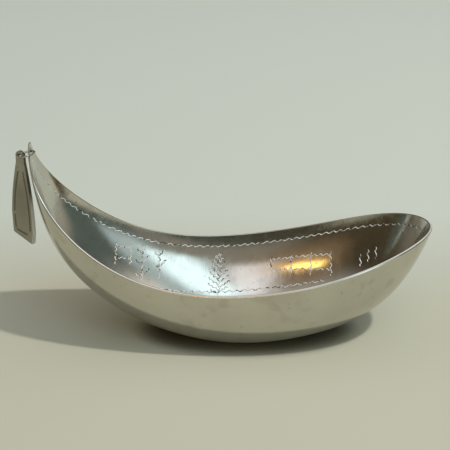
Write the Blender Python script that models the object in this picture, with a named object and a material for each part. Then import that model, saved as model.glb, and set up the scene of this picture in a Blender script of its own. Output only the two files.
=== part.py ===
"""Pewter sauce boat: one raised sheet with a drawn-up tip, a jump ring and a hanging pendant plate.

Metres, +Z up. The boat rests on z = 0, its length lies along X with the tip at -X, and the plane
y = 0 is its plane of symmetry. Where a value is easier to read in millimetres it is written as
N * MM.
"""

import math

import bmesh
import bpy
import numpy as np
from mathutils import Matrix, Vector

MM = 0.001

# Driving dimensions of the bowl
LENGTH = 262 * MM  # over the rim, tip to rounded end
SHEET = (1.25 * MM, 2.0 * MM)  # thickness of the pewter at the tip and over the rest of the bowl
TIP_HALF_WIDTH = 1.6 * MM  # the tip ends in a short blunt edge
FLAT_BLEND = 0.5 * MM  # height over which the flattened base runs into the round of the hull
SECTION_ARC = (60.0, 80.0)  # half angle of the section's arc in degrees, at the tip and amidships

# Lines of the hull at nine stations from tip to rounded end. A station stands at the rim's
# x = -LENGTH / 2 * cos(pi * u). Depth runs from the rim's chord down to the keel.
STATIONS = (0.0, 0.10, 0.22, 0.36, 0.50, 0.64, 0.78, 0.90, 1.0)
RIM_HEIGHT = (133.0, 108.5, 79.0, 54.0, 48.5, 56.5, 69.5, 76.0, 77.0)
HALF_WIDTH = (TIP_HALF_WIDTH / MM, 19.5, 35.5, 46.0, 51.5, 50.5, 38.5, 19.0, 0.0)
DEPTH = (0.0, 4.5, 23.0, 43.0, 53.5, 55.5, 53.0, 35.0, 0.0)

# Lean of the depth direction from -X, in degrees: at the tip, amidships, at the rounded end
LEAN = (12.0, 90.0, 73.0)

# The hole in the tip, the jump ring that passes through it, and the pendant
TIP_HOLE_DIAMETER = 3.6 * MM
WIRE = 1.25 * MM
RING_RADIUS = 5.4 * MM  # to the middle of the wire
RING_CENTRE = Vector((-131.9, -5.2, 127.6)) * MM
RING_TILT = 13.0  # degrees, the outer side of the ring lies lower
SEAT_DROP = 0.75 * MM  # the wire lies this far below the middle of a hole it rests in
PLATE_TURN = 30.0  # degrees, the pendant's face turns from -Y toward -X
PLATE_THICKNESS = (2.3 * MM, 3.6 * MM)  # at the hole and at the bottom tip
PLATE_HOLE_DIAMETER = 3.4 * MM

# Outline of the pendant's face, across and down from its hole, in millimetres
PLATE_SIDES = (
    (3.6, 4.0),
    (7.0, 52.3),
    (5.8, 60.0),
    (-9.3, 53.5),
    (-9.6, 39.0),
    (-3.0, 4.0),
)
PLATE_HEAD = 3.3  # radius of the round head, in millimetres
PLATE_HEAD_OFFSET = 0.3  # the head's middle lies this far to the right of the hole
PLATE_BOW = (1.1, 0.8)  # how far the long sides bow out, on the right and on the left

STEPS_ALONG = 56
STEPS_ACROSS = 40


def clear_scene():
    for item in list(bpy.data.objects):
        bpy.data.objects.remove(item, do_unlink=True)


def material(name, colour, roughness):
    mat = bpy.data.materials.new(name)
    mat.use_nodes = True
    surface = mat.node_tree.nodes["Principled BSDF"]
    surface.inputs["Base Color"].default_value = (*colour, 1.0)
    surface.inputs["Metallic"].default_value = 1.0
    surface.inputs["Roughness"].default_value = roughness
    return mat


def spline(values, flat_end):
    """Smooth curve through the stations' values: free at the tip, level at the end if asked."""
    x = np.array(STATIONS)
    y = np.array(values, dtype=float)
    gap = np.diff(x)
    count = len(x)
    system = np.zeros((count, count))
    right = np.zeros(count)
    system[0, 0] = 1.0
    for i in range(1, count - 1):
        system[i, i - 1 : i + 2] = (gap[i - 1], 2 * (gap[i - 1] + gap[i]), gap[i])
        right[i] = 6 * ((y[i + 1] - y[i]) / gap[i] - (y[i] - y[i - 1]) / gap[i - 1])
    system[-1, -1] = 1.0
    if flat_end:
        system[-1, -2:] = (gap[-1], 2 * gap[-1])
        right[-1] = -6 * (y[-1] - y[-2]) / gap[-1]
    bend = np.linalg.solve(system, right)

    def at(u):
        i = min(max(int(np.searchsorted(x, u)) - 1, 0), count - 2)
        a = (x[i + 1] - u) / gap[i]
        b = 1.0 - a
        cubic = (a**3 - a) * bend[i] + (b**3 - b) * bend[i + 1]
        return (a * y[i] + b * y[i + 1] + cubic * gap[i] ** 2 / 6) * MM

    return at


rim_height = spline(RIM_HEIGHT, True)
half_width = spline(HALF_WIDTH, False)
depth = spline(DEPTH, False)


def ease(x):
    x = min(max(x, 0.0), 1.0)
    return x * x * (3 - 2 * x)


def lean(u):
    tip, middle, end = (math.radians(a) for a in LEAN)
    return tip + (middle - tip) * ease(u / 0.45) + (end - middle) * ease((u - 0.5) / 0.5)


def thickness(u):
    """The cast pewter is thin at the tip and full from a fifth of the way along."""
    return SHEET[0] + (SHEET[1] - SHEET[0]) * ease((u - 0.08) / 0.2)


def settle(z):
    """The hull's round bottom, flattened where it would pass below the table."""
    if z <= -FLAT_BLEND:
        return 0.0
    if z >= FLAT_BLEND:
        return z
    return (z + FLAT_BLEND) ** 2 / (4 * FLAT_BLEND)


def hull_point(u, v):
    """Outside of the hull: u runs from tip to rounded end, v from the near rim to the far rim."""
    arc = math.radians(SECTION_ARC[0] + (SECTION_ARC[1] - SECTION_ARC[0]) * ease(u / 0.5))
    across = math.sin(arc * v) / math.sin(arc)
    up = (1 - math.cos(arc * v)) / (1 - math.cos(arc))
    fall = depth(u) * (1 - up)
    x = -LENGTH / 2 * math.cos(math.pi * u) - fall * math.cos(lean(u))
    z = rim_height(u) - fall * math.sin(lean(u))
    return Vector((x, half_width(u) * across, settle(z)))


def add_object(name, bm, mat, smooth=35.0):
    mesh = bpy.data.meshes.new(name)
    bm.to_mesh(mesh)
    bm.free()
    mesh.materials.append(mat)
    item = bpy.data.objects.new(name, mesh)
    bpy.context.scene.collection.objects.link(item)
    mesh.shade_smooth()
    mesh.set_sharp_from_angle(angle=math.radians(smooth))
    return item


def cutter(name, radius, length, place):
    """A round punch along its own Z, hidden, for a Boolean."""
    bm = bmesh.new()
    bmesh.ops.create_cone(
        bm, cap_ends=True, segments=32, radius1=radius, radius2=radius, depth=length
    )
    mesh = bpy.data.meshes.new(name)
    bm.to_mesh(mesh)
    bm.free()
    item = bpy.data.objects.new(name, mesh)
    bpy.context.scene.collection.objects.link(item)
    item.matrix_world = place
    item.display_type = "WIRE"
    item.hide_render = True
    return item


def punch(item, tool):
    hole = item.modifiers.new("hole", "BOOLEAN")
    hole.operation = "DIFFERENCE"
    hole.solver = "EXACT"
    hole.object = tool


def build_bowl(mat):
    """The sheet: its outside as a grid of sections, thickened inward, with the tip pierced."""
    bm = bmesh.new()
    rows = []
    for i in range(STEPS_ALONG):
        u = i / STEPS_ALONG
        places = [hull_point(u, 2 * j / STEPS_ACROSS - 1) for j in range(STEPS_ACROSS + 1)]
        rows.append([bm.verts.new(place) for place in places])
    for low, high in zip(rows, rows[1:]):
        for j in range(STEPS_ACROSS):
            bm.faces.new((low[j], low[j + 1], high[j + 1], high[j]))
    end = bm.verts.new(hull_point(1.0, 0.0))
    for j in range(STEPS_ACROSS):
        bm.faces.new((rows[-1][j], rows[-1][j + 1], end))
    bmesh.ops.recalc_face_normals(bm, faces=bm.faces)
    lowest = min(bm.faces, key=lambda face: face.calc_center_median().z)
    if lowest.normal.z > 0:
        bmesh.ops.reverse_faces(bm, faces=bm.faces)
    bowl = add_object("bowl", bm, mat)
    share = bowl.vertex_groups.new(name="share_of_thickness")
    for i in range(STEPS_ALONG + 1):
        first = i * (STEPS_ACROSS + 1)
        row = range(first, min(first + STEPS_ACROSS + 1, len(bowl.data.vertices)))
        share.add(list(row), thickness(i / STEPS_ALONG) / SHEET[1], "REPLACE")
    shell = bowl.modifiers.new("sheet", "SOLIDIFY")
    shell.thickness = SHEET[1]
    shell.vertex_group = share.name
    shell.offset = -1.0
    rounding = bowl.modifiers.new("rim", "BEVEL")
    rounding.limit_method = "ANGLE"
    rounding.angle_limit = math.radians(60)
    rounding.width = 0.3 * MM
    rounding.segments = 1
    place = Matrix.Translation(tip_hole_centre()) @ Matrix.Rotation(math.pi / 2, 4, "Y")
    punch(bowl, cutter("tip_hole_punch", TIP_HOLE_DIAMETER / 2, 12 * MM, place))
    return bowl


def ring_frame():
    return Matrix.Translation(RING_CENTRE) @ Matrix.Rotation(-math.radians(RING_TILT), 4, "Y")


def wire_at(angle):
    """Middle of the ring's wire, at an angle from +X in the ring's own plane, in degrees."""
    a = math.radians(angle)
    return ring_frame() @ Vector((RING_RADIUS * math.cos(a), RING_RADIUS * math.sin(a), 0))


def tip_crossing():
    """Where the ring's wire crosses the plane of symmetry, inside the tip's hole."""
    return wire_at(math.degrees(math.asin(-RING_CENTRE.y / RING_RADIUS)))


def tip_hole_centre():
    return tip_crossing() + Vector((0, 0, SEAT_DROP))


def plate_seat():
    """Where the pendant hangs on the ring: there the wire runs square to the pendant's face."""
    return wire_at(180.0 - PLATE_TURN)


def build_ring(mat):
    """A plain ring of round wire. Its origin is the seat in the tip, the axis that it swings on."""
    bpy.ops.mesh.primitive_torus_add(
        major_segments=48, minor_segments=14, major_radius=RING_RADIUS, minor_radius=WIRE / 2
    )
    ring = bpy.context.active_object
    ring.name = "jump_ring"
    ring.data.name = "jump_ring"
    ring.data.transform(Matrix.Translation(-tip_crossing()) @ ring_frame())
    ring.location = tip_crossing()
    ring.data.materials.append(mat)
    ring.data.shade_smooth()
    return ring


def bowed(start, end, reach, count=6):
    """Points between two corners on a side that bows out sideways."""
    result = []
    for k in range(1, count):
        share = k / count
        result.append(start.lerp(end, share) + Vector((reach * math.sin(math.pi * share), 0)))
    return result


def plate_outline():
    """The pendant's outline, anticlockwise as seen from its face, with a round head."""
    corners = [Vector((x * MM, -z * MM)) for x, z in PLATE_SIDES]
    first, last = corners[0], corners[-1]
    head = []
    for k in range(13):
        a = math.radians(-10 + 200 * k / 12)
        x = PLATE_HEAD_OFFSET + PLATE_HEAD * math.cos(a)
        head.append(Vector((x * MM, PLATE_HEAD * math.sin(a) * MM)))
    left = bowed(last, corners[-2], -PLATE_BOW[1] * MM)
    right = bowed(corners[1], first, PLATE_BOW[0] * MM)
    return [first] + head + [last] + left + corners[-2:0:-1] + right


def build_pendant(mat):
    """A plate that thickens toward its oblique lower end, hung on the ring by its head."""
    outline = plate_outline()
    lowest = min(p.y for p in outline)
    seat = plate_seat()
    turn = Matrix.Rotation(-math.radians(PLATE_TURN), 4, "Z")
    bm = bmesh.new()
    sides = []
    for face in (-1, 1):
        ring = []
        for p in outline:
            share = min(max(p.y / lowest, 0.0), 1.0)
            thick = PLATE_THICKNESS[0] + (PLATE_THICKNESS[1] - PLATE_THICKNESS[0]) * share
            ring.append(bm.verts.new((p.x, face * thick / 2, p.y - SEAT_DROP)))
        sides.append(ring)
    bm.faces.new(sides[0])
    bm.faces.new(sides[1][::-1])
    for k, corner in enumerate(sides[0]):
        bm.faces.new((sides[0][k - 1], corner, sides[1][k], sides[1][k - 1]))
    bmesh.ops.recalc_face_normals(bm, faces=bm.faces)
    bmesh.ops.transform(bm, matrix=turn, verts=bm.verts)
    pendant = add_object("pendant", bm, mat)
    pendant.location = seat
    punch_place = Matrix.Translation(seat - Vector((0, 0, SEAT_DROP))) @ turn
    punch_place = punch_place @ Matrix.Rotation(math.pi / 2, 4, "X")
    punch(pendant, cutter("pendant_hole_punch", PLATE_HOLE_DIAMETER / 2, 12 * MM, punch_place))
    rounding = pendant.modifiers.new("edges", "BEVEL")
    rounding.limit_method = "ANGLE"
    rounding.angle_limit = math.radians(50)
    rounding.width = 0.3 * MM
    rounding.segments = 2
    return pendant


clear_scene()
build_bowl(material("pewter_sheet", (0.42, 0.40, 0.36), 0.28))
build_ring(material("pewter_wire", (0.50, 0.47, 0.42), 0.22))
build_pendant(material("pewter_plate", (0.26, 0.25, 0.21), 0.38))
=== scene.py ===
"""Looks for the pewter sauce boat: engraved sheet, jump ring and pendant, in a soft studio."""

import math

import bmesh
import bpy
import numpy as np
from mathutils import Matrix, Vector
from mathutils.geometry import delaunay_2d_cdt


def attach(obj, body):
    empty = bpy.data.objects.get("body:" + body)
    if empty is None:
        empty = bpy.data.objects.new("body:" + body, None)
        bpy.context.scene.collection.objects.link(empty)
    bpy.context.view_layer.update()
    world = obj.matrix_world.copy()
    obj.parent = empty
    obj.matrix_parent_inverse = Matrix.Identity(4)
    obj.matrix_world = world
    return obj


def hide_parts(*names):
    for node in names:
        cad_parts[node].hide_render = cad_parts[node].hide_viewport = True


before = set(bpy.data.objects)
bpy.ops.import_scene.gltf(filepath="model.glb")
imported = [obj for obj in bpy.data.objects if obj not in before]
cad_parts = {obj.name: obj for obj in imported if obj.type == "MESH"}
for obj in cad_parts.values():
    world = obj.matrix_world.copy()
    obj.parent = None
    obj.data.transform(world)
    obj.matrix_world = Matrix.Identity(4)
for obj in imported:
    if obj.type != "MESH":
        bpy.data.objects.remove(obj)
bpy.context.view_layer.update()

MM = 0.001

# The hull's lines, the same as the CAD's
LENGTH = 262 * MM
SHEET = (1.25 * MM, 2.0 * MM)  # at the tip and over the rest
FLAT_BLEND = 0.5 * MM
SECTION_ARC = (60.0, 80.0)
STATIONS = (0.0, 0.10, 0.22, 0.36, 0.50, 0.64, 0.78, 0.90, 1.0)
RIM_HEIGHT = (133.0, 108.5, 79.0, 54.0, 48.5, 56.5, 69.5, 76.0, 77.0)
HALF_WIDTH = (1.6, 19.5, 35.5, 46.0, 51.5, 50.5, 38.5, 19.0, 0.0)
DEPTH = (0.0, 4.5, 23.0, 43.0, 53.5, 55.5, 53.0, 35.0, 0.0)
LEAN = (12.0, 90.0, 73.0)

# Tip, ring and pendant, the same as the CAD's
TIP_HOLE_RADIUS = 1.8 * MM
WIRE_RADIUS = 0.625 * MM
RING_RADIUS = 5.4 * MM
RING_CENTRE = Vector((-131.9, -5.2, 127.6)) * MM
RING_TILT = 13.0
SEAT_DROP = 0.75 * MM
PLATE_TURN = 30.0
PLATE_THICKNESS = (2.3 * MM, 3.6 * MM)
PLATE_HOLE_RADIUS = 1.7 * MM
PLATE_SIDES = ((3.6, 4.0), (7.0, 52.3), (5.8, 60.0), (-9.3, 53.5), (-9.6, 39.0), (-3.0, 4.0))
PLATE_HEAD = 3.3
PLATE_HEAD_OFFSET = 0.3
PLATE_BOW = (1.1, 0.8)

# Only in the visual model: the ring's closing joint, and the pendant's edges and lines
RING_JOINT = 305.0  # degrees round the ring
RING_GAP = 0.22 * MM
RING_END_TAPER = 0.88
PLATE_STEP = 1.2 * MM
PLATE_EDGE = 0.25 * MM  # width of the face's soft edge
PLATE_HOLE_EDGE = 0.2 * MM
PLATE_WEAR_AND_HIGHLIGHT = (18 * MM, 26 * MM)  # the edge's rubbed-bright tone, partly a painted highlight, starts this far down and grows over this much
HEAD_ARC = (-10, 200)  # where the round head starts and how far it turns, in degrees
HEAD_STEPS = 24
PLATE_LINES = (  # both ends of a wriggled line, each as a corner and a shift from it, and its bow
    ((0, (-1.6, -6.0)), (1, (-2.0, 1.0)), PLATE_BOW[0]),
    ((5, (1.3, -6.0)), (4, (2.4, 0.0)), -PLATE_BOW[1]),
    ((4, (2.4, -1.5)), (3, (2.4, 3.0)), 0.0),
    ((3, (2.6, 2.4)), (2, (-3.0, 6.0)), 0.0),
)

# Mesh of the sheet
STEPS_ALONG = 200
STEPS_ACROSS = 120
FLAT_SCALE = np.array((290.0, 62.0))  # flat coordinates of a unit of u and v, for triangles and polish
HOLE_SIDES = 36
HOLE_CLEARANCE = 1.12  # the sheet's grid keeps this many radii away from the hole's middle
CUT_CLEARANCE = 1.7  # and this many half widths away from a cut
MITRE_LIMIT = 0.55  # keeps a cut's mitred corners short
RIM_CREST = 0.55 * MM  # how far the rounded rim stands out between the sheet's two sides
HOLE_CREST = 0.05 * MM
RIM_WEAR_AND_HIGHLIGHT_FADE = 14 * MM  # the rim's rubbed-bright tone, partly a painted highlight, fades out over this much of the tip
RIM_HEART = (0.85, 0.8)  # shares of a rim place's x and z that give a point inside the boat

# The graver's lines
CUT_HALF_WIDTH = 0.36 * MM
CUT_DEPTH = 0.24 * MM
BORDER_BELOW_RIM = 7.2 * MM
GROUND_BELOW_RIM = 40.5 * MM
WAVES = {  # pitch and swing of a wriggled line, by what it draws
    "border": (5.4 * MM, 0.62 * MM),
    "figure": (4.2 * MM, 0.62 * MM),
    "twig": (2.8 * MM, 0.5 * MM),
    "pendant": (2.2 * MM, 0.5 * MM),
}
WAVE_SLANT = 0.55  # the graver's stroke runs further on one side of the wave than on the other
BORDER_SPAN = (0.012, 0.9985)  # u where the borders begin and end
GROUND_SPAN = (-72 * MM, 66 * MM)  # x where the lower border begins and ends

# Plain motifs on the far wall, in millimetres across and up as seen from the side
FIR_TWIGS = (  # pairs of twigs: height on the stem, reach and rise
    (32.4, 2.4, 3.4),
    (29.2, 3.6, 4.2),
    (26.2, 4.6, 4.6),
    (23.2, 5.7, 5.0),
    (20.2, 6.7, 4.8),
    (17.2, 7.7, 4.4),
    (14.3, 8.2, 4.0),
    (12.0, 6.4, 2.6),
)
TREES = (  # place, top and foot of a stem, and its pairs of twigs
    (-64, 46, 24, ((41, 4.0, 4.0), (34, 5.0, 4.0), (27, 5.0, 3.0))),
    (-52, 43, 23, ((37, 3.5, 4.0), (30, 4.5, 4.0))),
    (-10, 37, 12, FIR_TWIGS),
)
TWIG_BEND = (0.5, 0.4)  # shares of a twig's reach and rise at its middle
TWIG_STAGGER = 0.6  # the right twig of a pair leaves the stem this far up, the left one down
FENCES = (  # where it starts and ends, heights of both rails there, and number of posts
    ((-82, -72), ((48, 45), (41, 38.5)), 2),
    ((28, 70), ((32, 38.5), (25, 29)), 4),
)
POST_REACH = (2.5, 4.0)  # how far a post stands above the upper rail and below the lower one
SHORT_STROKES = ((90, 34), (95, 38), (100, 41))  # place and foot
STROKE_HEIGHT = 8
# cut colours: the bright cuts are fresh metal with painted glints and painted shade mixed in by noise;
# the pendant's cuts are plain dark
CUT_BRIGHT = (0.98, 0.98, 0.97)
CUT_DARK = (0.07, 0.065, 0.05)
# rubbed-bright edges: partly real rubbing, partly a painted highlight that stays pale whatever the
# metal reflects
WORN_AND_HIGHLIT_TONE = (0.95, 0.94, 0.90)

# The studio: the paper's tones, and what stands round it for the metal to reflect
FLOOR_TONE = (0.60, 0.595, 0.49)
# painted shade: the paper's colour where the boat stands close to it, seen only by the camera
PAINTED_CONTACT_SHADE = (0.09, 0.08, 0.05)
MIDDLE_TONE = (0.69, 0.73, 0.67)
FAR_TONE = (0.80, 0.84, 0.78)
BACKDROP_SEEN = (0.55, 0.57, 0.49)
BEHIND_LEFT = (0.21, 0.20, 0.16)
BEHIND_RIGHT = (0.40, 0.40, 0.34)
ROOM_LEFT = (0.075, 0.06, 0.035)
ROOM_RIGHT = (0.12, 0.156, 0.145)
CEILING = (0.56, 0.55, 0.52)
CARDS = (  # colour, azimuth, elevation, width, height and edge softness in degrees
    ((0.31, 0.30, 0.26), 8, 13, 34, 32, 16),
    ((0.29, 0.205, 0.13), -18, 34, 36, 44, 26),
    ((0.90, 0.90, 0.86), 72, 61, 34, 26, 16),
    ((1.2, 1.2, 1.28), -1, 46, 14, 40, 8),
    ((0.55, 0.69, 0.74), 38, 43, 28, 66, 14),
    ((1.5, 1.93, 2.15), 23.5, 43, 18, 48, 9),
    ((0.74, 0.50, 0.29), -15, 31, 18, 12, 12),
    ((6.0, 3.7, 1.0), -22, 33, 14, 5, 4),
)
LAMP_AT = (57, 60.5)
LAMP_DISTANCE = 3.0
LAMP_WIDTH = 0.16
LAMP_POWER = 38.0
LAMP_TONE = (1.0, 0.97, 0.90)
FLOOR_SIZE = 24.0
FLOOR_DROP = 0.0002  # the paper lies this far below the boat's base
PAINTED_SHADE_REACH = 16 * MM  # painted shade: the paper's colour darkens where something stands this close to it

# The camera, level across
CAMERA_LENS = 78.72
CAMERA_SENSOR = 36.0
CAMERA_PITCH = 22.0
CAMERA_DISTANCE = 0.650
CAMERA_AIM = Vector((-5.4, 0, 76.9)) * MM

# Pewter: light tone, dark tone and roughness of each piece
SHEET_METAL = ((0.64, 0.61, 0.54), (0.56, 0.53, 0.46), 0.13)
WIRE_METAL = ((0.58, 0.55, 0.49), (0.36, 0.34, 0.29), 0.12)
PLATE_METAL = ((0.42, 0.40, 0.34), (0.30, 0.285, 0.235), 0.34)
PATTERNS = {  # scale per metre, detail and stretch of the noise in the metal
    "clouds": (32.0, 5.0),
    "blotches": (140.0, 3.0),
    "sheet_polish": (60.0, 4.0, (26, 1, 1)),
    "polish": (500.0, 3.0, (1, 1, 0.2)),
    "smudges": (85.0, 7.0),
    "pits": (420.0, 2.0),
    "painted_facet_light": (430.0, 1.0),
    "dents": (75.0, 2.0),
}
BUMP_STRENGTH = 0.25
BUMP_DISTANCE = 0.0001


# ---------------------------------------------------------------- the hull as a formula


def spline(values, flat_end):
    """Smooth curve through the stations' values: free at the tip, level at the end if asked."""
    x = np.array(STATIONS)
    y = np.array(values, dtype=float) * MM
    gap = np.diff(x)
    count = len(x)
    system = np.zeros((count, count))
    right = np.zeros(count)
    system[0, 0] = 1.0
    for i in range(1, count - 1):
        system[i, i - 1 : i + 2] = (gap[i - 1], 2 * (gap[i - 1] + gap[i]), gap[i])
        right[i] = 6 * ((y[i + 1] - y[i]) / gap[i] - (y[i] - y[i - 1]) / gap[i - 1])
    system[-1, -1] = 1.0
    if flat_end:
        system[-1, -2:] = (gap[-1], 2 * gap[-1])
        right[-1] = -6 * (y[-1] - y[-2]) / gap[-1]
    bend = np.linalg.solve(system, right)

    def at(u):
        i = np.clip(np.searchsorted(x, u) - 1, 0, count - 2)
        a = (x[i + 1] - u) / gap[i]
        b = 1.0 - a
        cubic = (a**3 - a) * bend[i] + (b**3 - b) * bend[i + 1]
        return a * y[i] + b * y[i + 1] + cubic * gap[i] ** 2 / 6

    return at


rim_height = spline(RIM_HEIGHT, True)
half_width = spline(HALF_WIDTH, False)
depth = spline(DEPTH, False)


def ease(x):
    x = np.clip(x, 0.0, 1.0)
    return x * x * (3 - 2 * x)


def hull(uv):
    """Outside of the hull at rows of (u, v): u from tip to round end, v from near to far rim."""
    u = uv[:, 0]
    v = uv[:, 1]
    arc = np.radians(SECTION_ARC[0] + (SECTION_ARC[1] - SECTION_ARC[0]) * ease(u / 0.5))
    across = np.sin(arc * v) / np.sin(arc)
    up = (1 - np.cos(arc * v)) / (1 - np.cos(arc))
    tip, middle, end = np.radians(LEAN)
    lean = tip + (middle - tip) * ease(u / 0.45) + (end - middle) * ease((u - 0.5) / 0.5)
    fall = depth(u) * (1 - up)
    x = -LENGTH / 2 * np.cos(np.pi * u) - fall * np.cos(lean)
    z = rim_height(u) - fall * np.sin(lean)
    low = (z + FLAT_BLEND) ** 2 / (4 * FLAT_BLEND)
    z = np.where(z <= -FLAT_BLEND, 0.0, np.where(z >= FLAT_BLEND, z, low))
    return np.stack((x, half_width(u) * across, z), axis=1)


def thickness(u):
    return SHEET[0] + (SHEET[1] - SHEET[0]) * ease((u - 0.08) / 0.2)


def slopes(uv):
    """How the hull runs along u and along v."""
    h = 1e-4
    uv = np.stack((np.clip(uv[:, 0], 2 * h, 1 - 20 * h), uv[:, 1]), axis=1)
    along = (hull(uv + (h, 0)) - hull(uv - (h, 0))) / (2 * h)
    across = (hull(uv + (0, h)) - hull(uv - (0, h))) / (2 * h)
    return along, across


def unit(rows):
    return rows / np.maximum(np.linalg.norm(rows, axis=1, keepdims=True), 1e-12)


def inward(uv):
    along, across = slopes(uv)
    return unit(np.cross(along, across))


def inside(uv):
    return hull(uv) + inward(uv) * thickness(uv[:, 0])[:, None]


def grid_rows(count_u, count_v):
    u, v = np.meshgrid(np.linspace(0, 0.998, count_u), np.linspace(-1, 1, count_v), indexing="ij")
    return np.stack((u.ravel(), v.ravel()), axis=1)


COARSE = grid_rows(120, 90)
COARSE_PLACES = inside(COARSE)


def approach(places, uv, axes, rounds, last_u):
    """Newton steps from a start toward the (u, v) whose inside points lie nearest to the places."""
    axes = list(axes)
    h = 1e-4
    uv = uv.copy()
    for _ in range(rounds):
        here = inside(uv)
        du = (inside(uv + (h, 0)) - here)[:, axes] / h
        dv = (inside(uv + (0, h)) - here)[:, axes] / h
        miss = (places - here)[:, axes]
        aa = (du * du).sum(1) + 1e-12
        bb = (dv * dv).sum(1) + 1e-12
        ab = (du * dv).sum(1)
        ra = (du * miss).sum(1)
        rb = (dv * miss).sum(1)
        det = np.maximum(aa * bb - ab * ab, 1e-18)
        step = np.stack(((bb * ra - ab * rb) / det, (aa * rb - ab * ra) / det), axis=1)
        uv = uv + np.clip(step, -0.03, 0.03)
        uv[:, 0] = np.clip(uv[:, 0], 0.001, last_u)
    return uv


def locate(places, axes=(0, 1, 2), far_only=False):
    """The (u, v) of the inside's points that lie nearest to these places, seen along the axes."""
    places = np.asarray(places, dtype=float)
    usable = COARSE[:, 1] > 0.05 if far_only else np.ones(len(COARSE), dtype=bool)
    known = COARSE_PLACES[usable][:, list(axes)]
    gaps = np.linalg.norm(known[None] - places[:, None, list(axes)], axis=2)
    return approach(places, COARSE[usable][gaps.argmin(axis=1)], axes, rounds=7, last_u=0.997)


def locate_near(places, uv):
    """As locate, from a start that is already close."""
    return approach(places, uv, (0, 1, 2), rounds=3, last_u=BORDER_SPAN[1])


# ---------------------------------------------------------------- the graver's lines


def below_rim(distance, side, count=700, steps=12):
    """Points on the inside at a distance down from the rim, along one side of the boat."""
    u = np.linspace(*BORDER_SPAN, count)
    rim = np.stack((u, np.full(count, float(side))), axis=1)
    along, across = slopes(rim)
    along = unit(along)
    down = -side * across
    down = unit(down - (down * along).sum(1, keepdims=True) * along)
    uv = rim
    places = inside(rim)
    for _ in range(steps):
        places = places + down * distance / steps
        uv = locate_near(places, uv)
        places = inside(uv)
        normal = inward(uv)
        down = unit(down - (down * normal).sum(1, keepdims=True) * normal)
    keep = uv[:, 1] * side > 0.01
    return places[keep]


def read_along(marks, run, rows):
    """The rows of a route's places or normals, read at marks along its run."""
    return np.stack([np.interp(marks, run, rows[:, k]) for k in range(3)], axis=1)


def wave(route, normals, pitch, swing, steps=6):
    """A wriggled cut along a route: the graver rocks, so the waves lean over."""
    lengths = np.linalg.norm(np.diff(route, axis=0), axis=1)
    run = np.concatenate(([0.0], np.cumsum(lengths)))
    waves = max(round(run[-1] / pitch), 1)
    phase = np.linspace(0, 2 * math.pi * waves, waves * steps + 1)
    lead = WAVE_SLANT * np.sin(phase)
    marks = np.clip((phase + lead) / phase[-1], 0, 1) * run[-1]
    places = read_along(marks, run, route)
    normal = read_along(marks, run, normals)
    ahead = read_along(marks + MM, run, route) - read_along(marks - MM, run, route)
    sideways = unit(np.cross(normal, ahead))
    return places + sideways * (np.sin(phase) * swing)[:, None]


def far_wall(points):
    """Places on the far wall's inside from a side-view drawing: x and z in millimetres."""
    places = np.array([(x * MM, 0.0, z * MM) for x, z in points])
    return inside(locate(places, axes=(0, 2), far_only=True))


def wriggle(points, kind):
    """A wriggled stroke through the drawing's points."""
    dense = []
    for (x0, z0), (x1, z1) in zip(points, points[1:]):
        steps = max(int(math.hypot(x1 - x0, z1 - z0) / 1.0), 1)
        dense += [(x0 + (x1 - x0) * k / steps, z0 + (z1 - z0) * k / steps) for k in range(steps)]
    route = far_wall(dense + [points[-1]])
    return wave(route, inward(locate_near(route, locate(route))), *WAVES[kind])


def twigs(x, pairs):
    """Pairs of twigs that rise from an upright stem: height at the stem, reach and rise."""
    strokes = []
    for height, reach, rise in pairs:
        for side in (-1, 1):
            low = height + TWIG_STAGGER * side
            middle = (x + side * reach * TWIG_BEND[0], low + rise * TWIG_BEND[1])
            strokes.append([(x, low), middle, (x + side * reach, low + rise)])
    return strokes


def fence(span, rails, posts):
    """Two sloping rails, as heights at both ends, and upright posts at even distances."""
    upper, lower = rails
    strokes = [list(zip(span, rail)) for rail in rails]
    for k in range(posts):
        share = k / (posts - 1)
        x = span[0] + (span[1] - span[0]) * share
        top = upper[0] + (upper[1] - upper[0]) * share + POST_REACH[0]
        foot = lower[0] + (lower[1] - lower[0]) * share - POST_REACH[1]
        strokes.append([(x, top), (x, foot)])
    return strokes


def drawing():
    """Plain motifs on the far wall: bare trees, a fir, two fences and short strokes."""
    figures = [[(x, top), (x, foot)] for x, top, foot, _ in TREES]
    for made in FENCES:
        figures += fence(*made)
    figures += [[(x, foot + STROKE_HEIGHT), (x, foot)] for x, foot in SHORT_STROKES]
    small = []
    for x, _, _, pairs in TREES:
        small += twigs(x, pairs)
    cuts = [wriggle(points, "figure") for points in figures]
    return cuts + [wriggle(points, "twig") for points in small]


def border(distance, side, x_range=None):
    route = below_rim(distance, side)
    if x_range:
        route = route[(route[:, 0] > x_range[0]) & (route[:, 0] < x_range[1])]
    return wave(route, inward(locate_near(route, locate(route))), *WAVES["border"])


def bowl_cuts():
    cuts = [border(BORDER_BELOW_RIM, side) for side in (1, -1)]
    cuts.append(border(GROUND_BELOW_RIM, 1, GROUND_SPAN))
    return cuts + drawing()


def cut_edges(path, normals, half):
    """The two edges of a cut along a path, mitred at its corners, closing at both ends."""
    ahead = unit(np.diff(path, axis=0))
    sides = unit(np.cross((normals[1:] + normals[:-1]) / 2, ahead))
    before = np.vstack((sides[:1], sides))
    after = np.vstack((sides, sides[-1:]))
    mitre = before + after
    mitre = mitre / np.maximum((mitre * before).sum(1, keepdims=True), MITRE_LIMIT)
    left = path + mitre * half
    right = path - mitre * half
    return left[1:-1], right[1:-1]


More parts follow.
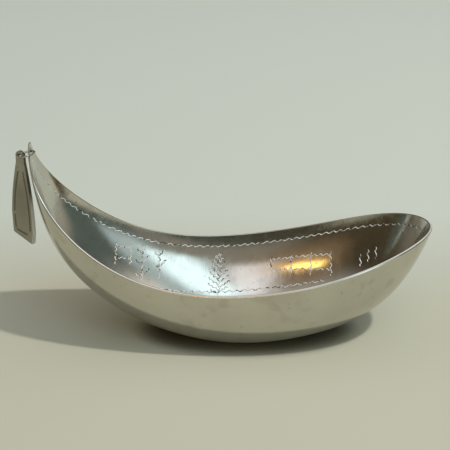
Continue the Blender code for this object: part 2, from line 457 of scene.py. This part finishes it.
def depth_in_cuts(places, cuts, half, deep):
    """How deep each place lies in the cuts, as V-shaped grooves."""
    result = np.zeros(len(places))
    for path in cuts:
        low = path.min(axis=0) - 2 * half
        high = path.max(axis=0) + 2 * half
        near = np.nonzero(((places >= low) & (places <= high)).all(axis=1))[0]
        if not len(near):
            continue
        some = places[near]
        best = np.full(len(near), np.inf)
        for a, b in zip(path, path[1:]):
            ab = b - a
            t = np.clip((some - a) @ ab / (ab @ ab), 0, 1)
            best = np.minimum(best, np.linalg.norm(some - a - t[:, None] * ab, axis=1))
        result[near] = np.maximum(result[near], deep * np.clip(1 - best / half, 0, 1))
    return result


# ---------------------------------------------------------------- meshes


class Skin:
    """A triangulated sheet over flat coordinates, with cuts as real grooves and one hole."""

    def __init__(self):
        self.flat = []
        self.edges = []

    def add(self, rows):
        first = len(self.flat)
        self.flat += [Vector((float(a), float(b))) for a, b in rows]
        return list(range(first, len(self.flat)))

    def chain(self, ids, closed=False):
        self.edges += list(zip(ids, ids[1:]))
        if closed:
            self.edges.append((ids[-1], ids[0]))

    def add_cut(self, middle, left, right):
        core = self.add(middle)
        self.chain(core)
        for side in (left, right):
            if len(side):
                self.chain([core[0]] + self.add(side) + [core[-1]])

    def triangulate(self):
        """Flat places, triangles, and where each given point went."""
        verts, _, faces, origin, _, _ = delaunay_2d_cdt(self.flat, self.edges, [], 0, 1e-7, True)
        went = {}
        for new, olds in enumerate(origin):
            for old in olds:
                went[old] = new
        return np.array([tuple(v) for v in verts]), faces, went


def far_from(points, cuts, gap):
    """Which points keep clear of every cut."""
    return depth_in_cuts(points, cuts, gap, 1.0) <= 0.0


def tip_hole_loop():
    """The hole's edge on the inside, as (u, v): a round punch along X through the tip."""
    seat = tip_crossing()
    centre = Vector((seat.x, 0, seat.z + SEAT_DROP))
    ring = []
    for k in range(HOLE_SIDES):
        a = 2 * math.pi * k / HOLE_SIDES
        y = TIP_HOLE_RADIUS * math.cos(a)
        ring.append((0.0, centre.y + y, centre.z + TIP_HOLE_RADIUS * math.sin(a)))
    return locate(np.array(ring), axes=(1, 2))


def ring_frame():
    return Matrix.Translation(RING_CENTRE) @ Matrix.Rotation(-math.radians(RING_TILT), 4, "Y")


def wire_at(degrees):
    a = math.radians(degrees)
    return ring_frame() @ Vector((RING_RADIUS * math.cos(a), RING_RADIUS * math.sin(a), 0))


def tip_crossing():
    return wire_at(math.degrees(math.asin(-RING_CENTRE.y / RING_RADIUS)))


def plate_seat():
    return wire_at(180.0 - PLATE_TURN)


def sheet_grid():
    """Rows of (u, v) over the sheet, their numbers by station, and which of them lie on its edge."""
    u = np.arange(STEPS_ALONG) / STEPS_ALONG
    v = np.arange(STEPS_ACROSS + 1) * 2 / STEPS_ACROSS - 1
    rows = np.array([(a, b) for a in u for b in v])
    index = np.arange(len(rows)).reshape(STEPS_ALONG, STEPS_ACROSS + 1)
    on_edge = np.zeros(len(rows), dtype=bool)
    for line in (index[0], index[-1], index[:, 0], index[:, -1]):
        on_edge[line] = True
    return rows, index, on_edge


def sheet_skin(cuts, hole):
    """One side of the sheet: (u, v) places, triangles, its four edges and the hole's edge.

    The edges are the far rim, the last row, the near rim and the tip. The sheet's last point, the
    round end's, is left to the caller.
    """
    rows, index, on_edge = sheet_grid()
    middle = hole.mean(axis=0)
    reach = np.linalg.norm((hole - middle) * FLAT_SCALE, axis=1).max() * HOLE_CLEARANCE
    clear = np.linalg.norm((rows - middle) * FLAT_SCALE, axis=1) > reach
    keep = on_edge | (far_from(inside(rows), cuts, CUT_HALF_WIDTH * CUT_CLEARANCE) & clear)
    skin = Skin()
    ids = skin.add(rows[keep] * FLAT_SCALE)
    new_id = dict(zip(np.nonzero(keep)[0].tolist(), ids))
    for line in (index[:, 0], index[:, -1], index[0], index[-1]):
        skin.chain([new_id[i] for i in line])
    hole_ids = skin.add(hole * FLAT_SCALE)
    skin.chain(hole_ids, closed=True)
    for path in cuts:
        uv = locate(path)
        left, right = cut_edges(path, inward(uv), CUT_HALF_WIDTH)
        sides = [locate(side) * FLAT_SCALE if len(side) else [] for side in (left, right)]
        skin.add_cut(uv * FLAT_SCALE, *sides)
    flat, faces, went = skin.triangulate()
    uv = flat / FLAT_SCALE
    hole_new = [went[i] for i in hole_ids]
    faces = [f for f in faces if not within(uv[list(f)].mean(axis=0), uv[hole_new])]
    lines = (index[:, -1], index[-1], index[::-1, 0], index[0])
    edges = [[went[new_id[i]] for i in line] for line in lines]
    return uv, faces, edges, hole_new


def within(point, polygon):
    x, y = point
    inside_it = False
    for (x0, y0), (x1, y1) in zip(polygon, np.roll(polygon, -1, axis=0)):
        if (y0 > y) != (y1 > y) and x < (x1 - x0) * (y - y0) / (y1 - y0) + x0:
            inside_it = not inside_it
    return inside_it


def bridge(bm, low, high, outward, bulge, steps=4, wear_highlight_layer=None):
    """A rounded edge between two loops of vertices that stand opposite each other.

    With a layer for it, the edge's crest is marked as rubbed bright, which the material also paints as
    a highlight.
    """
    rows = [low]
    for k in range(1, steps):
        a = math.pi * k / steps
        row = []
        for one, other, out in zip(low, high, outward):
            middle = (one.co + other.co) / 2
            half = (one.co - other.co) / 2
            row.append(bm.verts.new(middle + half * math.cos(a) + out * bulge * math.sin(a)))
            if wear_highlight_layer:
                row[-1][wear_highlight_layer] = 1.0 if k == steps // 2 else 0.0
        rows.append(row)
    rows.append(high)
    for a, b in zip(rows, rows[1:]):
        for k in range(len(a)):
            bm.faces.new((a[k - 1], a[k], b[k], b[k - 1]))


def loop_outward(loop, away_from):
    """For each vertex of a rounded edge, the direction square to it that leaves the sheet."""
    result = []
    for k, (one, other) in enumerate(loop):
        ahead = loop[(k + 1) % len(loop)][0].co - loop[k - 1][0].co
        across = other.co - one.co
        out = ahead.cross(across).normalized()
        if out.dot(one.co - away_from(one.co)) < 0:
            out = -out
        result.append(out)
    return result


def finish_mesh(name, bm, mat, sharp=22.0):
    mesh = bpy.data.meshes.new(name)
    bmesh.ops.recalc_face_normals(bm, faces=bm.faces)
    bm.to_mesh(mesh)
    bm.free()
    mesh.materials.append(mat)
    item = bpy.data.objects.new(name, mesh)
    bpy.context.scene.collection.objects.link(item)
    mesh.shade_smooth()
    mesh.set_sharp_from_angle(angle=math.radians(sharp))
    return item


def bowl_side(bm, layers, cuts, hole, inner):
    """One side of the bowl's sheet. Gives the vertices of its rim and of its hole, in order."""
    engraved, sheet_place = layers
    uv, faces, (far, last, near, tip), hole_ids = sheet_skin(cuts if inner else [], hole)
    surface = inside if inner else hull
    places = surface(uv)
    deep = np.zeros(len(places))
    if inner:
        deep = depth_in_cuts(places, [path[1:-1] for path in cuts], CUT_HALF_WIDTH, CUT_DEPTH)
        places = places - inward(uv) * deep[:, None]
    verts = [bm.verts.new(place) for place in places]
    for vert, d, place in zip(verts, deep, uv * FLAT_SCALE * MM):
        vert[engraved] = d / CUT_DEPTH
        vert[sheet_place] = Vector((*place, 0.0))
    for face in faces:
        bm.faces.new([verts[i] for i in face])
    pole = bm.verts.new(surface(np.array(((1.0, 0.0),)))[0])
    row = [verts[i] for i in last]
    for a, b in zip(row, row[1:]):
        bm.faces.new((a, b, pole))
    rim = [verts[i] for i in far] + [pole] + [verts[i] for i in near]
    rim += [verts[i] for i in tip[1:-1]]
    return rim, [verts[i] for i in hole_ids]


def rim_heart(place):
    """A point inside the boat, to tell which way a place on the rim faces outward."""
    return Vector((place.x * RIM_HEART[0], 0, place.z * RIM_HEART[1]))


def build_bowl(mat):
    """Both sides of the sheet, the engraved inside, the rounded rim and the pierced tip."""
    bm = bmesh.new()
    engraved = bm.verts.layers.float.new("engraving")
    wear_highlight_layer = bm.verts.layers.float.new("wear_and_highlight")
    sheet_place = bm.verts.layers.float_vector.new("sheet_place")
    hole = tip_hole_loop()
    cuts = bowl_cuts()
    rim_in, hole_in = bowl_side(bm, (engraved, sheet_place), cuts, hole, True)
    rim_out, hole_out = bowl_side(bm, (engraved, sheet_place), cuts, hole, False)
    outward = loop_outward(list(zip(rim_in, rim_out)), rim_heart)
    bridge(bm, rim_in, rim_out, outward, RIM_CREST, wear_highlight_layer=wear_highlight_layer)
    for vert in bm.verts:
        vert[wear_highlight_layer] *= float(ease((vert.co.x - rim_in[-1].co.x) / RIM_WEAR_AND_HIGHLIGHT_FADE))
    centre = sum((v.co for v in hole_in), Vector()) / len(hole_in)
    to_middle = [(centre - v.co).normalized() for v in hole_in]
    bridge(bm, hole_in, hole_out, to_middle, HOLE_CREST)
    bowl = finish_mesh("engraved_bowl", bm, mat)
    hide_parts("bowl")
    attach(bowl, "bowl")
    return bowl


def build_ring(mat):
    """A ring of drawn wire that closes in a fine butt joint."""
    joint = math.radians(RING_JOINT)
    opening = RING_GAP / RING_RADIUS
    bm = bmesh.new()
    turns = 120
    around = 20
    rows = []
    for k in range(turns + 1):
        a = joint + opening / 2 + (2 * math.pi - opening) * k / turns
        end = min(k, turns - k)
        radius = WIRE_RADIUS * (1.0 if end > 0 else RING_END_TAPER)
        row = []
        for j in range(around):
            b = 2 * math.pi * j / around
            out = RING_RADIUS + radius * math.cos(b)
            row.append(bm.verts.new((out * math.cos(a), out * math.sin(a), radius * math.sin(b))))
        rows.append(row)
    for low, high in zip(rows, rows[1:]):
        for j in range(around):
            bm.faces.new((low[j - 1], low[j], high[j], high[j - 1]))
    bm.faces.new(rows[0])
    bm.faces.new(rows[-1][::-1])
    bmesh.ops.transform(bm, matrix=ring_frame(), verts=bm.verts)
    ring = finish_mesh("drawn_wire_ring", bm, mat, sharp=40.0)
    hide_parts("jump_ring")
    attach(ring, "ring")
    return ring


def bowed(start, end, reach, count=12):
    """Points between two corners on a side that bows out sideways."""
    result = []
    for k in range(1, count):
        share = k / count
        result.append(start.lerp(end, share) + Vector((reach * math.sin(math.pi * share), 0)))
    return result


def plate_outline():
    """The pendant's outline in metres across and up from its hole, with a round head."""
    corners = [Vector((x, -z)) * MM for x, z in PLATE_SIDES]
    first, last = corners[0], corners[-1]
    head = []
    for k in range(HEAD_STEPS + 1):
        a = math.radians(HEAD_ARC[0] + HEAD_ARC[1] * k / HEAD_STEPS)
        x = PLATE_HEAD_OFFSET + PLATE_HEAD * math.cos(a)
        head.append(Vector((x, PLATE_HEAD * math.sin(a))) * MM)
    left = bowed(last, corners[-2], -PLATE_BOW[1] * MM)
    right = bowed(corners[1], first, PLATE_BOW[0] * MM)
    return [first] + head + [last] + left + corners[-2:0:-1] + right


def evenly(points, step):
    """A closed outline with points no further apart than a step."""
    result = []
    for a, b in zip(points, points[1:] + points[:1]):
        count = max(int((b - a).length / step), 1)
        result += [a.lerp(b, k / count) for k in range(count)]
    return result


def shrink(points, inset):
    """The outline moved inward, corner by corner."""
    result = []
    for k, point in enumerate(points):
        before = (point - points[k - 1]).normalized()
        after = (points[(k + 1) % len(points)] - point).normalized()
        normal = Vector((-before.y - after.y, before.x + after.x))
        size = max(normal.length_squared / 2, 0.4)
        result.append(point + normal / size * inset)
    return result


def plate_cuts():
    """Wriggled lines inside the pendant's long sides and across its lower end."""
    corners = [Vector((x, -z)) * MM for x, z in PLATE_SIDES]
    cuts = []
    for (first, from_first), (last, from_last), bow in PLATE_LINES:
        a = corners[first] + Vector(from_first) * MM
        b = corners[last] + Vector(from_last) * MM
        points = [a] + bowed(a, b, bow * MM) + [b]
        line = np.array([(*point, 0.0) for point in points])
        normals = np.tile((0.0, 0.0, 1.0), (len(points), 1))
        cuts.append(wave(line, normals, *WAVES["pendant"]))
    return cuts


def plate_thickness(y, lowest):
    """The plate's thickness at a height y below its hole: it grows toward the lower end."""
    share = min(max(y / lowest, 0.0), 1.0)
    return PLATE_THICKNESS[0] + (PLATE_THICKNESS[1] - PLATE_THICKNESS[0]) * share


def plate_skin(inner_line, hole, cuts):
    """The pendant's face as flat places, its triangles, and the places of its edge and hole."""
    skin = Skin()
    edge = skin.add([p / MM for p in inner_line])
    skin.chain(edge, closed=True)
    hole_ids = skin.add(hole / MM)
    skin.chain(hole_ids, closed=True)
    for path in cuts:
        normals = np.tile((0.0, 0.0, 1.0), (len(path), 1))
        left, right = cut_edges(path, normals, CUT_HALF_WIDTH)
        skin.add_cut(path[:, :2] / MM, left[:, :2] / MM, right[:, :2] / MM)
    flat, faces, went = skin.triangulate()
    edge = [went[i] for i in edge]
    hole_ids = [went[i] for i in hole_ids]
    kept = []
    for f in faces:
        middle = flat[list(f)].mean(axis=0)
        if within(middle, flat[edge]) and not within(middle, flat[hole_ids]):
            kept.append(f)
    return flat * MM, kept, edge, hole_ids


def plate_face(bm, engraved, skin, cuts, lowest, face):
    """One face of the pendant. Gives the vertices of its edge and of its hole."""
    flat, kept, edge, hole_ids = skin
    spots = np.column_stack((flat, np.zeros(len(flat))))
    deep = depth_in_cuts(spots, [path[1:-1] for path in cuts], CUT_HALF_WIDTH, CUT_DEPTH)
    verts = {}
    for i in {i for f in kept for i in f}:
        x, y = flat[i]
        half = plate_thickness(y, lowest) / 2 - deep[i]
        verts[i] = bm.verts.new((x, face * half, y - SEAT_DROP))
        verts[i][engraved] = deep[i] / CUT_DEPTH
    for f in kept:
        bm.faces.new([verts[i] for i in f])
    return [verts[i] for i in edge], [verts[i] for i in hole_ids]


def plate_rim(bm, wear_highlight_layer, outline, inner_line, edges, lowest, steps=8):
    """The pendant's soft edge between its two faces, rubbed bright and painted as a highlight on the
    lower part.
    """
    rows = [edges[0]]
    for k in range(1, steps):
        a = math.pi * k / steps
        reach = min(math.sin(a) * 1.6, 1.0)  # full width over the edge's middle, round near the faces
        shift = max(min(math.cos(a) * 1.25, 1.0), -1.0)
        row = []
        for out, inn in zip(outline, inner_line):
            spot = inn.lerp(out, reach)
            half = plate_thickness(spot.y, lowest) / 2
            row.append(bm.verts.new((spot.x, -half * shift, spot.y - SEAT_DROP)))
            if 1 < k < steps - 1:
                row[-1][wear_highlight_layer] = float(ease((-spot.y - PLATE_WEAR_AND_HIGHLIGHT[0]) / PLATE_WEAR_AND_HIGHLIGHT[1]))
        rows.append(row)
    rows.append(edges[1])
    for a, b in zip(rows, rows[1:]):
        for k in range(len(a)):
            bm.faces.new((a[k - 1], a[k], b[k], b[k - 1]))


def build_pendant(mat):
    """A cast plate with soft edges, thicker below, with a wriggled line round both faces."""
    outline = evenly(plate_outline(), PLATE_STEP)
    inner_line = shrink(outline, PLATE_EDGE)
    lowest = min(p.y for p in outline)
    cuts = plate_cuts()
    bm = bmesh.new()
    engraved = bm.verts.layers.float.new("engraving")
    wear_highlight_layer = bm.verts.layers.float.new("wear_and_highlight")
    hole = [(math.cos(math.pi * k / 16), math.sin(math.pi * k / 16)) for k in range(32)]
    hole = np.array(hole) * (PLATE_HOLE_RADIUS + PLATE_HOLE_EDGE)
    skin = plate_skin(inner_line, hole, cuts)
    edge_a, hole_a = plate_face(bm, engraved, skin, cuts, lowest, -1)
    edge_b, hole_b = plate_face(bm, engraved, skin, cuts, lowest, 1)
    plate_rim(bm, wear_highlight_layer, outline, inner_line, (edge_a, edge_b), lowest)
    centre = Vector((0, 0, -SEAT_DROP))
    to_middle = [(centre - (a.co + b.co) / 2).normalized() for a, b in zip(hole_a, hole_b)]
    bridge(bm, hole_a, hole_b, to_middle, PLATE_HOLE_EDGE, steps=6)
    place = Matrix.Translation(plate_seat()) @ Matrix.Rotation(-math.radians(PLATE_TURN), 4, "Z")
    bmesh.ops.transform(bm, matrix=place, verts=bm.verts)
    pendant = finish_mesh("engraved_pendant", bm, mat, sharp=30.0)
    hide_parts("pendant")
    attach(pendant, "pendant")
    return pendant


# ---------------------------------------------------------------- materials


class Nodes:
    """Short helpers for one node tree."""

    def __init__(self, tree):
        self.tree = tree

    def node(self, kind, **values):
        made = self.tree.nodes.new(kind)
        for key, value in values.items():
            if hasattr(made, key):
                setattr(made, key, value)
            else:
                made.inputs[key.replace("_", " ").title()].default_value = value
        return made

    def link(self, a, b):
        self.tree.links.new(a, b)

    def noise(self, coords, scale, detail=4.0, stretch=(1, 1, 1)):
        mapping = self.node("ShaderNodeMapping")
        mapping.inputs["Scale"].default_value = stretch
        self.link(coords, mapping.inputs["Vector"])
        noise = self.node("ShaderNodeTexNoise", Scale=scale, Detail=detail)
        self.link(mapping.outputs["Vector"], noise.inputs["Vector"])
        return noise.outputs["Fac"]

    def ramp(self, value, low, high, start, end, smooth=False):
        """Carries a value from the span start..end to low..high, and holds it there outside."""
        span = self.node("ShaderNodeMapRange")
        if smooth:
            span.interpolation_type = "SMOOTHSTEP"
        span.inputs["From Min"].default_value = start
        span.inputs["From Max"].default_value = end
        span.inputs["To Min"].default_value = low
        span.inputs["To Max"].default_value = high
        self.link(value, span.inputs["Value"])
        return span.outputs["Result"]

    def mix(self, share, a, b, blend="MIX"):
        mix = self.node("ShaderNodeMix", data_type="RGBA", blend_type=blend)
        self.link(share, mix.inputs["Factor"])
        for socket, value in ((mix.inputs[6], a), (mix.inputs[7], b)):
            if isinstance(value, tuple):
                socket.default_value = (*value, 1.0)
            else:
                self.link(value, socket)
        return mix.outputs[2]

    def math(self, a, b, operation="ADD"):
        made = self.node("ShaderNodeMath", operation=operation)
        for socket, value in zip(made.inputs, (a, b)):
            if isinstance(value, (int, float)):
                socket.default_value = value
            else:
                self.link(value, socket)
        return made.outputs[0]

    def along(self, vector, axis):
        """How far a vector runs along an axis."""
        made = self.node("ShaderNodeVectorMath", operation="DOT_PRODUCT")
        self.link(vector, made.inputs[0])
        made.inputs[1].default_value = tuple(axis)
        return made.outputs["Value"]


def new_material(name):
    mat = bpy.data.materials.new(name)
    mat.use_nodes = True
    return mat, Nodes(mat.node_tree), mat.node_tree.nodes["Principled BSDF"]


def pewter(name, light, dark, rough, sheet=False, cut_tone=None):
    """Worked pewter: mottled tone, polishing lines, small dark pits and rough graver's cuts, with
    painted glints and painted shade in the bright cuts, and edges rubbed bright that are partly a
    painted highlight.
    """
    mat, n, surface = new_material(name)
    coords = n.node("ShaderNodeTexCoord").outputs["Object"]
    cloud = n.noise(coords, *PATTERNS["clouds"])
    blotch = n.noise(coords, *PATTERNS["blotches"])
    if sheet:
        place = n.node("ShaderNodeAttribute", attribute_name="sheet_place").outputs["Vector"]
        lines = n.noise(place, *PATTERNS["sheet_polish"])
    else:
        lines = n.noise(coords, *PATTERNS["polish"])
    tone = n.mix(n.ramp(cloud, 0.0, 1.0, 0.3, 0.7), dark, light)
    smudges = n.ramp(n.noise(coords, *PATTERNS["smudges"]), 0.0, 0.4, 0.56, 0.68)
    tone = n.mix(smudges, tone, tuple(c * 0.75 for c in dark))
    pits = n.ramp(n.noise(coords, *PATTERNS["pits"]), 0.0, 1.0, 0.68, 0.76)
    tone = n.mix(n.math(pits, 0.5, "MULTIPLY"), tone, tuple(c * 0.45 for c in dark))
    roughness = n.ramp(blotch, rough - 0.03, rough + 0.05, 0.3, 0.7)
    roughness = n.math(roughness, n.ramp(lines, -0.04, 0.05, 0.3, 0.7))
    if cut_tone:
        painted_facet_light = None
        # painted glints and painted shade: noise splits the bright cuts into pale and dark dashes, like
        # lit and shaded facets
        if cut_tone == CUT_BRIGHT:
            painted_facet_light = n.ramp(n.noise(coords, *PATTERNS["painted_facet_light"]), 0.0, 1.0, 0.37, 0.48)
            cut_tone = n.mix(painted_facet_light, CUT_DARK, CUT_BRIGHT)
        cut = n.node("ShaderNodeAttribute", attribute_name="engraving").outputs["Fac"]
        tone = n.mix(n.ramp(cut, 0.0, 1.0, 0.15, 0.5), tone, cut_tone)
        roughness = n.math(roughness, n.ramp(cut, 0.0, 0.12, 0.1, 0.6))
        # rubbed-bright edges, partly a painted highlight: made pale and less metallic so they stay
        # bright whatever they reflect
        wear_and_highlight = n.node("ShaderNodeAttribute", attribute_name="wear_and_highlight").outputs["Fac"]
        tone = n.mix(n.ramp(wear_and_highlight, 0.0, 0.9, 0.1, 0.7), tone, WORN_AND_HIGHLIT_TONE)
        roughness = n.math(roughness, n.ramp(wear_and_highlight, 0.0, 0.15, 0.1, 0.7))
        metal = n.ramp(wear_and_highlight, 1.0, 0.4, 0.1, 0.7)
        # the painted glints are made less metallic, so they stay pale whatever they reflect
        if painted_facet_light:
            painted_glint_unmetal = n.math(painted_facet_light, n.ramp(cut, 0.0, 0.75, 0.15, 0.5), "MULTIPLY")
            painted_glint_unmetal = n.math(painted_glint_unmetal, -1.0, "MULTIPLY")
            metal = n.math(metal, n.math(painted_glint_unmetal, 1.0), "MULTIPLY")
        n.link(metal, surface.inputs["Metallic"])
    else:
        surface.inputs["Metallic"].default_value = 1.0
    n.link(tone, surface.inputs["Base Color"])
    n.link(roughness, surface.inputs["Roughness"])
    height = n.math(n.math(lines, 0.5, "MULTIPLY"), n.math(pits, -0.6, "MULTIPLY"))
    height = n.math(height, n.math(n.noise(coords, *PATTERNS["dents"]), 3.0, "MULTIPLY"))
    bump = n.node("ShaderNodeBump")
    bump.inputs["Strength"].default_value = BUMP_STRENGTH
    bump.inputs["Distance"].default_value = BUMP_DISTANCE
    n.link(height, bump.inputs["Height"])
    n.link(bump.outputs["Normal"], surface.inputs["Normal"])
    return mat


# ---------------------------------------------------------------- studio


def build_floor():
    """A wide pale floor that passes softly into the paler tone of the backdrop behind, with shade
    painted into its colour where the boat stands close to it, seen only by the camera.
    """
    bpy.ops.mesh.primitive_plane_add(size=FLOOR_SIZE, location=(0, 0, -FLOOR_DROP))
    floor = bpy.context.active_object
    floor.name = "studio_floor"
    mat, n, surface = new_material("studio_paper")
    place = n.node("ShaderNodeTexCoord").outputs["Object"]
    split = n.node("ShaderNodeSeparateXYZ")
    n.link(place, split.inputs["Vector"])
    middle = n.ramp(split.outputs["Y"], 0.0, 1.0, 0.05, 0.22)
    far = n.ramp(split.outputs["Y"], 0.0, 1.0, 0.22, 1.5)
    tone = n.mix(far, n.mix(middle, FLOOR_TONE, MIDDLE_TONE), FAR_TONE)
    # painted shade: ambient occlusion darkens the paper's colour near the boat, for camera rays only
    near = n.node("ShaderNodeAmbientOcclusion", samples=8)
    near.inputs["Distance"].default_value = PAINTED_SHADE_REACH
    seen = n.node("ShaderNodeLightPath").outputs["Is Camera Ray"]
    painted_contact_shade = n.math(n.ramp(near.outputs["AO"], 1.0, 0.0, 0.25, 0.85, True), seen, "MULTIPLY")
    n.link(n.mix(painted_contact_shade, tone, PAINTED_CONTACT_SHADE), surface.inputs["Base Color"])
    surface.inputs["Roughness"].default_value = 0.85
    floor.data.materials.append(mat)


def toward(azimuth, elevation):
    """A direction: azimuth 0 is the camera's side, 90 the round end's side."""
    a = math.radians(azimuth)
    e = math.radians(elevation)
    return Vector((math.sin(a) * math.cos(e), -math.cos(a) * math.cos(e), math.sin(e)))


def card(n, direction, azimuth, elevation, width, height, soft):
    """Where a soft-edged rectangle in the distance is seen, from 0 to 1. Sizes are in degrees."""
    ahead = toward(azimuth, elevation)
    right = Vector((0, 0, 1)).cross(ahead).normalized()
    up = ahead.cross(right)
    depth_on = n.math(n.along(direction, ahead), 0.02, "MAXIMUM")
    share = n.ramp(depth_on, 0.0, 1.0, 0.02, 0.2)
    edge = math.tan(math.radians(soft))
    for axis, size in ((right, width), (up, height)):
        off = n.math(n.math(n.along(direction, axis), depth_on, "DIVIDE"), 0.0, "ABSOLUTE")
        half = math.tan(math.radians(size / 2))
        share = n.math(share, n.ramp(off, 1.0, 0.0, half - edge / 2, half + edge / 2, True), "MULTIPLY")
    return share


def build_world():
    """A dim room with a window and a warm lamp for the metal to reflect; pale to the camera."""
    world = bpy.data.worlds.new("studio")
    bpy.context.scene.world = world
    world.use_nodes = True
    n = Nodes(world.node_tree)
    direction = n.node("ShaderNodeTexCoord").outputs["Generated"]
    behind = n.ramp(n.along(direction, (0, 1, 0)), 0.0, 1.0, -0.15, 0.35, True)
    paper = n.math(behind, n.ramp(n.along(direction, (0, 0, 1)), 1.0, 0.0, 0.1, 0.35, True), "MULTIPLY")
    high = n.ramp(n.along(direction, (0, 0, 1)), 0.0, 1.0, 0.5, 0.95, True)
    side = n.ramp(n.along(direction, (1, 0, 0)), 0.0, 1.0, -0.5, 0.5, True)
    tone = n.mix(side, ROOM_LEFT, ROOM_RIGHT)
    tone = n.mix(high, tone, CEILING)
    tone = n.mix(paper, tone, n.mix(side, BEHIND_LEFT, BEHIND_RIGHT))
    for colour, *place in CARDS:
        tone = n.mix(card(n, direction, *place), tone, colour)
    seen = n.node("ShaderNodeLightPath").outputs["Is Camera Ray"]
    tone = n.mix(seen, tone, BACKDROP_SEEN)
    n.link(tone, world.node_tree.nodes["Background"].inputs["Color"])


def build_lamp():
    """One compact lamp high on the right, which gives the shadow its edge."""
    data = bpy.data.lights.new("overhead_lamp", "AREA")
    data.shape = "DISK"
    data.size = LAMP_WIDTH
    data.energy = LAMP_POWER
    data.color = LAMP_TONE
    lamp = bpy.data.objects.new("overhead_lamp", data)
    lamp.visible_glossy = False  # the metal reflects the room's cards instead
    ahead = toward(*LAMP_AT)
    lamp.location = ahead * LAMP_DISTANCE
    lamp.rotation_euler = ahead.to_track_quat("Z", "Y").to_euler()
    bpy.context.scene.collection.objects.link(lamp)


def build_camera():
    """A view from the near side, level across and looking down on the boat."""
    data = bpy.data.cameras.new("camera")
    data.lens = CAMERA_LENS
    data.sensor_width = CAMERA_SENSOR
    camera = bpy.data.objects.new("camera", data)
    pitch = math.radians(CAMERA_PITCH)
    away = Vector((0, -CAMERA_DISTANCE * math.cos(pitch), CAMERA_DISTANCE * math.sin(pitch)))
    camera.location = CAMERA_AIM + away
    camera.rotation_euler = (math.pi / 2 - pitch, 0, 0)
    bpy.context.scene.collection.objects.link(camera)
    bpy.context.scene.camera = camera


bpy.context.scene.view_settings.view_transform = "Standard"
build_camera()
build_floor()
build_world()
build_lamp()
build_bowl(pewter("pewter_sheet", *SHEET_METAL, sheet=True, cut_tone=CUT_BRIGHT))
build_ring(pewter("pewter_wire", *WIRE_METAL))
build_pendant(pewter("pewter_plate", *PLATE_METAL, cut_tone=CUT_DARK))
